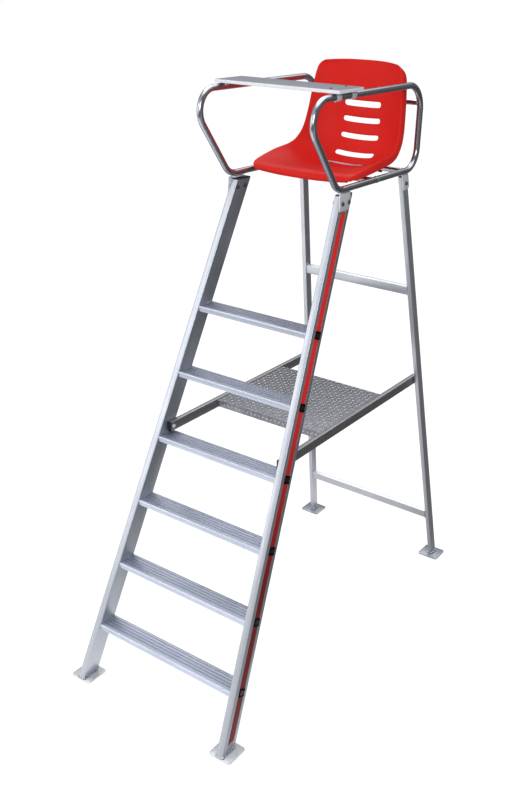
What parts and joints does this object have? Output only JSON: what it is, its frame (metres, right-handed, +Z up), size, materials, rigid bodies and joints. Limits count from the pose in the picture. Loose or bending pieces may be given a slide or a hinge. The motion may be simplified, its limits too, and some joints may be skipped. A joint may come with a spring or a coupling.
{
  "type": "umpire chair",
  "caption": "Tall metal umpire's ladder chair with ribbed treads, a footrest, a bucket seat between looped arms and a writing board that hinges on one arm.",
  "frame": {"origin": "on the ground, in the middle of the rectangle that the foot plates cover", "axes": "+Z up; the treads and the open side of the seat face -Y; seen from the front, +X is the side with the board's hinge"},
  "size_m": [0.833, 1.812, 2.3787],
  "materials": {
    "stile_aluminium": "brushed, bright",
    "tread_aluminium": "ribbed, satin",
    "red_stripe": "smooth",
    "black_plastic": "matt",
    "plate_aluminium": "satin",
    "bar_aluminium": "satin",
    "arm_tube": "polished",
    "bracket_steel": "zinc plated",
    "seat_plastic": "satin",
    "bolt_cover": "matt",
    "board_laminate": "satin",
    "dark_screw": "dark"
  },
  "bodies": {
    "chair": {"left_stile": "stile_aluminium", "right_stile": "stile_aluminium", "left_stripe": "red_stripe", "right_stripe": "red_stripe", "tread_1": "tread_aluminium", "tread_2": "tread_aluminium", "tread_3": "tread_aluminium", "tread_4": "tread_aluminium", "tread_5": "tread_aluminium", "tread_6": "tread_aluminium", "left_tread_plugs": "black_plastic", "right_tread_plugs": "black_plastic", "stile_caps": "black_plastic", "left_front_foot": "plate_aluminium", "right_front_foot": "plate_aluminium", "left_rear_foot": "plate_aluminium", "right_rear_foot": "plate_aluminium", "left_rear_leg": "bar_aluminium", "right_rear_leg": "bar_aluminium", "leg_caps": "black_plastic", "upper_crossbar": "bar_aluminium", "lower_crossbar": "bar_aluminium", "left_rail": "bar_aluminium", "right_rail": "bar_aluminium", "rail_caps": "black_plastic", "footrest_plate": "plate_aluminium", "rail_bolts": "bracket_steel", "left_arm_loop": "arm_tube", "right_arm_loop": "arm_tube", "arm_joints": "arm_tube", "front_seat_tube": "arm_tube", "rear_seat_tube": "arm_tube", "back_tube": "arm_tube", "left_stile_bracket": "bracket_steel", "right_stile_bracket": "bracket_steel", "left_leg_bracket": "bracket_steel", "right_leg_bracket": "bracket_steel", "bracket_bolts": "bracket_steel", "seat_shell": "seat_plastic", "seat_bolts": "bolt_cover"},
    "board": {"writing_board": "board_laminate", "board_clips": "bracket_steel", "board_screws": "dark_screw", "board_rest": "bracket_steel"}
  },
  "joints": [
    {"name": "board_hinge", "type": "hinge", "parent": "chair", "child": "board", "pos_m": [0.246, -0.052, 2.3025], "axis": [0, 1, 0], "range_deg": [0, 250]}
  ]
}
